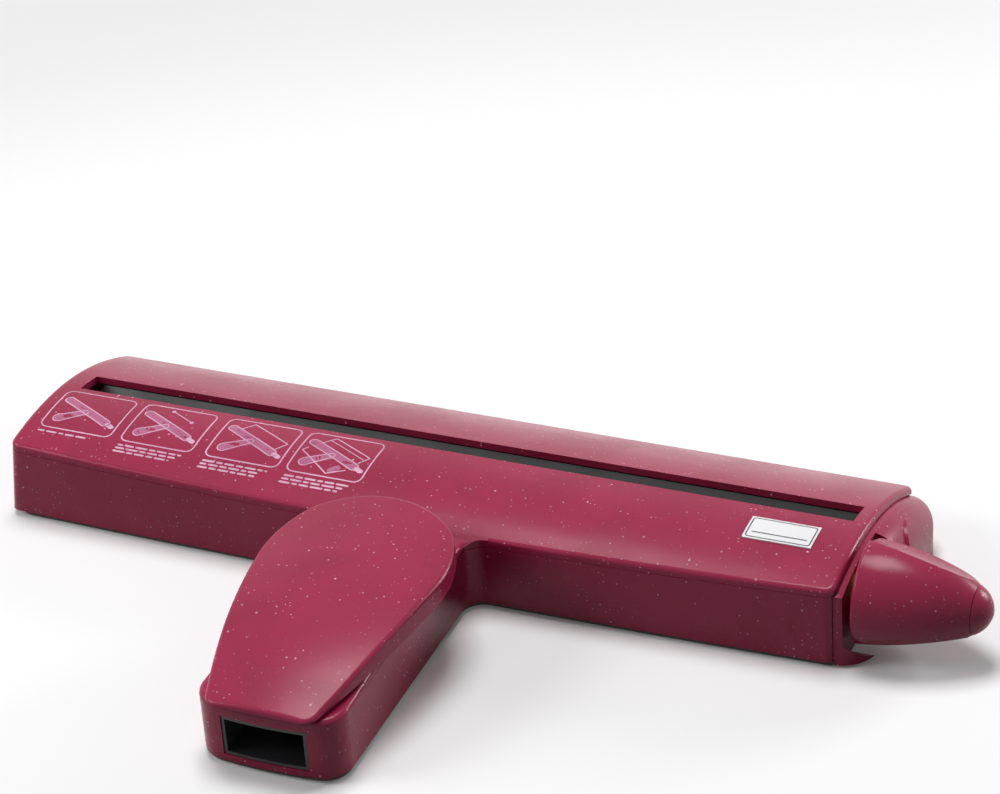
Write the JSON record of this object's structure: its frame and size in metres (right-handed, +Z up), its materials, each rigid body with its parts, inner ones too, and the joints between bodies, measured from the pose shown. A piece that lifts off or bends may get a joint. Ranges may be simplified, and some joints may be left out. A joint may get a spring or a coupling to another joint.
{
  "type": "hand cranked paper crimper",
  "caption": "Bench paper crimper: T-shaped casing with a long paper slot over geared ridged rollers, turned by a fluted bullet-shaped knob, with a sprung press lever on its handle.",
  "frame": {"origin": "on the flat underside of the base plate, under the middle of the handle along X and the middle of the bar's depth along Y; the rubber feet stand 0.6 mm below it", "axes": "+X along the bar towards the knob, -Y along the handle away from the bar, +Z up from the bench"},
  "size_m": [0.2737, 0.1524, 0.032],
  "materials": {
    "burgundy_plastic": "gloss",
    "black_plastic": "satin",
    "roller_plastic": "satin",
    "gear_plastic": "satin",
    "bearing_bronze": "satin",
    "frame_steel": "brushed",
    "bright_steel": "polished",
    "label_white": "satin",
    "foot_rubber": "matte"
  },
  "bodies": {
    "casing": {"top_cover": "burgundy_plastic", "housing": "burgundy_plastic", "base_plate": "black_plastic", "right_end_cap": "burgundy_plastic", "handle_liner": "black_plastic", "label_plate": "label_white", "rubber_feet": "foot_rubber", "case_screws": "bright_steel", "frame_screws": "bright_steel", "left_side_frame": "frame_steel", "right_side_frame": "frame_steel", "front_roller_bushes": "bearing_bronze", "rear_roller_bushes": "bearing_bronze", "spindle_inner_bush": "bearing_bronze", "spindle_outer_bush": "bearing_bronze", "front_entry_guide": "black_plastic", "rear_entry_guide": "black_plastic", "exit_ramp": "black_plastic", "lever_hinge_pin": "bright_steel", "lever_spring": "bright_steel"},
    "front_roller_set": {"front_roller": "roller_plastic", "front_roller_shaft": "bright_steel", "front_roller_gear": "gear_plastic", "front_shaft_clip": "bright_steel"},
    "rear_roller_set": {"rear_roller": "roller_plastic", "rear_roller_shaft": "bright_steel", "rear_roller_gear": "gear_plastic", "rear_shaft_clip": "bright_steel"},
    "knob_set": {"knob": "burgundy_plastic", "knob_nose_cap": "burgundy_plastic", "knob_screw": "bright_steel", "knob_spacer": "black_plastic", "drive_spindle": "bright_steel", "drive_pinion": "gear_plastic", "spindle_clip": "bright_steel"},
    "lever": {"press_lever": "burgundy_plastic"}
  },
  "joints": [
    {"name": "knob_turn", "type": "hinge", "parent": "casing", "child": "knob_set", "pos_m": [0.1194, -0.0186, 0.0149], "axis": [1, 0, 0], "continuous": true},
    {"name": "front_roller_turn", "type": "hinge", "parent": "casing", "child": "front_roller_set", "pos_m": [0, -0.00737, 0.012], "axis": [1, 0, 0], "continuous": true},
    {"name": "rear_roller_turn", "type": "hinge", "parent": "casing", "child": "rear_roller_set", "pos_m": [0, 0.00863, 0.012], "axis": [1, 0, 0], "continuous": true},
    {"name": "lever_press", "type": "hinge", "parent": "casing", "child": "lever", "pos_m": [0, -0.113, 0.01745], "axis": [-1, 0, 0], "range_deg": [0, 2.5], "stiffness_Nm_per_rad": 0.5, "springref_deg": -5.73, "deforming": ["lever_spring"]}
  ],
  "couplings": [
    {"joint": "front_roller_turn", "follows": "knob_turn", "ratio": -0.45},
    {"joint": "rear_roller_turn", "follows": "knob_turn", "ratio": 0.45}
  ]
}
